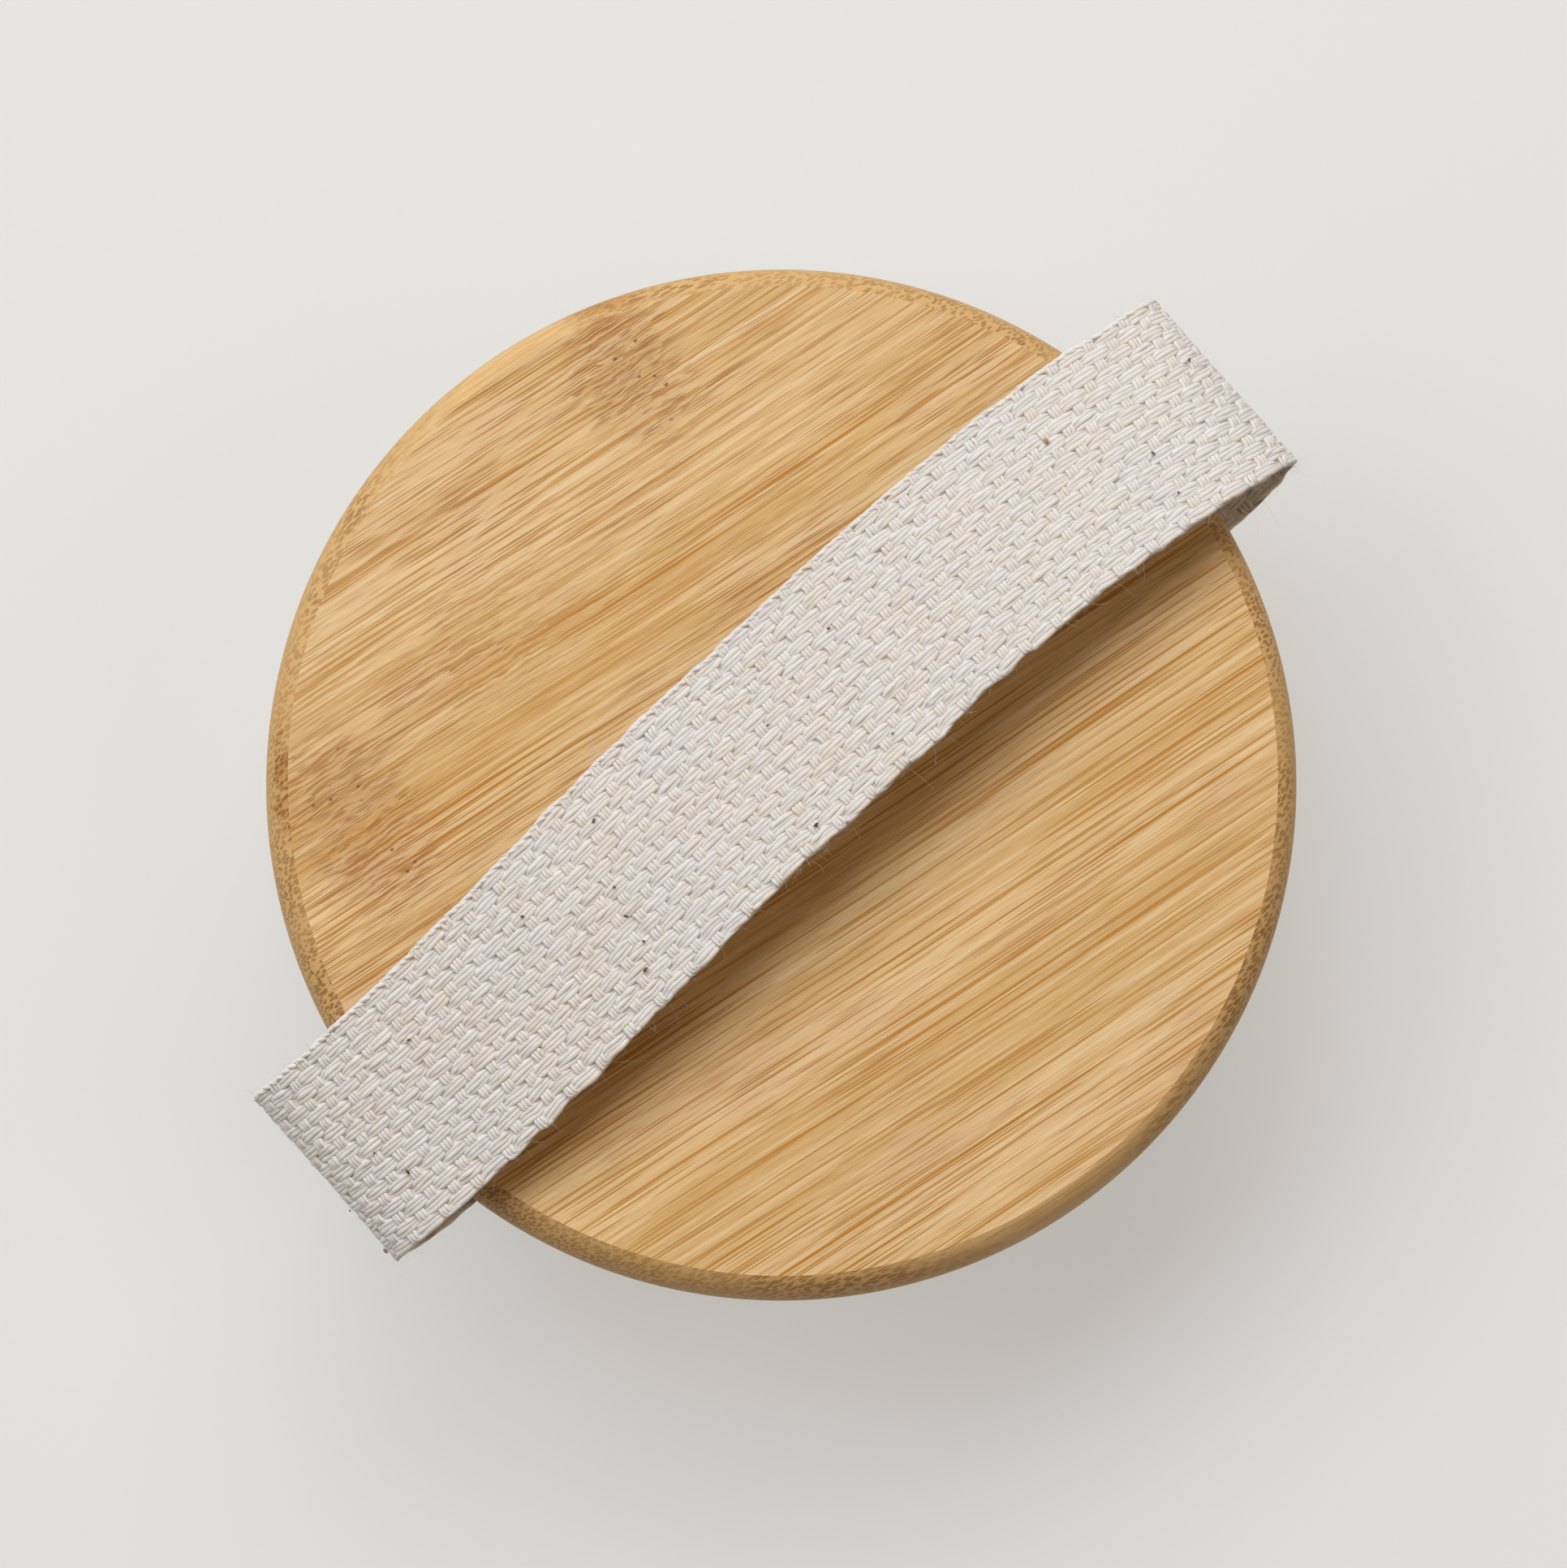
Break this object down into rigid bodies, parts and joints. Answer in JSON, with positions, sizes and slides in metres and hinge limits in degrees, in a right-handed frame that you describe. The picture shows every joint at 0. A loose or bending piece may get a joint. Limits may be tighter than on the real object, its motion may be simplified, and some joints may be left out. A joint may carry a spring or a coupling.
{
  "type": "body dry brush",
  "caption": "Round dry brush for the skin: a bamboo back, tufts of plant fibre under it, and a cotton webbing strap that the hand slips under.",
  "frame": {"origin": "middle of the round back, at the level of the bristle tips that the brush stands on", "axes": "+X along the strap, from the left slot to the right one; +Z from the bristle tips to the back; +Y to the side that the strap has flopped to"},
  "size_m": [0.141, 0.12, 0.0538],
  "materials": {
    "bamboo": "oiled satin, straight grain with a few node marks",
    "cotton_webbing": "undyed heavy cotton webbing, coarse plain weave",
    "plant_fibre": "stiff undyed plant fibre",
    "steel_brad": "plain bright steel"
  },
  "bodies": {
    "back": {"bamboo_back": "bamboo", "strap_end_left": "cotton_webbing", "strap_end_right": "cotton_webbing", "strap_pin_left_front": "steel_brad", "strap_pin_left_rear": "steel_brad", "strap_pin_right_front": "steel_brad", "strap_pin_right_rear": "steel_brad", "bristle_tuft_ring1_01": "plant_fibre", "bristle_tuft_ring1_02": "plant_fibre", "bristle_tuft_ring1_03": "plant_fibre", "bristle_tuft_ring1_04": "plant_fibre", "bristle_tuft_ring2_01": "plant_fibre", "bristle_tuft_ring2_02": "plant_fibre", "bristle_tuft_ring2_03": "plant_fibre", "bristle_tuft_ring2_04": "plant_fibre", "bristle_tuft_ring2_05": "plant_fibre", "bristle_tuft_ring2_06": "plant_fibre", "bristle_tuft_ring2_07": "plant_fibre", "bristle_tuft_ring2_08": "plant_fibre", "bristle_tuft_ring2_09": "plant_fibre", "bristle_tuft_ring2_10": "plant_fibre", "bristle_tuft_ring3_01": "plant_fibre", "bristle_tuft_ring3_02": "plant_fibre", "bristle_tuft_ring3_03": "plant_fibre", "bristle_tuft_ring3_04": "plant_fibre", "bristle_tuft_ring3_05": "plant_fibre", "bristle_tuft_ring3_06": "plant_fibre", "bristle_tuft_ring3_07": "plant_fibre", "bristle_tuft_ring3_08": "plant_fibre", "bristle_tuft_ring3_09": "plant_fibre", "bristle_tuft_ring3_10": "plant_fibre", "bristle_tuft_ring3_11": "plant_fibre", "bristle_tuft_ring3_12": "plant_fibre", "bristle_tuft_ring3_13": "plant_fibre", "bristle_tuft_ring3_14": "plant_fibre", "bristle_tuft_ring3_15": "plant_fibre", "bristle_tuft_ring3_16": "plant_fibre", "bristle_tuft_ring4_01": "plant_fibre", "bristle_tuft_ring4_02": "plant_fibre", "bristle_tuft_ring4_03": "plant_fibre", "bristle_tuft_ring4_04": "plant_fibre", "bristle_tuft_ring4_05": "plant_fibre", "bristle_tuft_ring4_06": "plant_fibre", "bristle_tuft_ring4_07": "plant_fibre", "bristle_tuft_ring4_08": "plant_fibre", "bristle_tuft_ring4_09": "plant_fibre", "bristle_tuft_ring4_10": "plant_fibre", "bristle_tuft_ring4_11": "plant_fibre", "bristle_tuft_ring4_12": "plant_fibre", "bristle_tuft_ring4_13": "plant_fibre", "bristle_tuft_ring4_14": "plant_fibre", "bristle_tuft_ring4_15": "plant_fibre", "bristle_tuft_ring4_16": "plant_fibre", "bristle_tuft_ring4_17": "plant_fibre", "bristle_tuft_ring4_18": "plant_fibre", "bristle_tuft_ring4_19": "plant_fibre", "bristle_tuft_ring4_20": "plant_fibre", "bristle_tuft_ring4_21": "plant_fibre", "bristle_tuft_ring4_22": "plant_fibre"},
    "strap": {"strap_loop": "cotton_webbing"}
  },
  "joints": [
    {"name": "strap_lean", "type": "hinge", "parent": "back", "child": "strap", "pos_m": [0, 0, 0.03507], "axis": [1, 0, 0], "range_deg": [-5, 16], "stiffness_Nm_per_rad": 0.01}
  ]
}
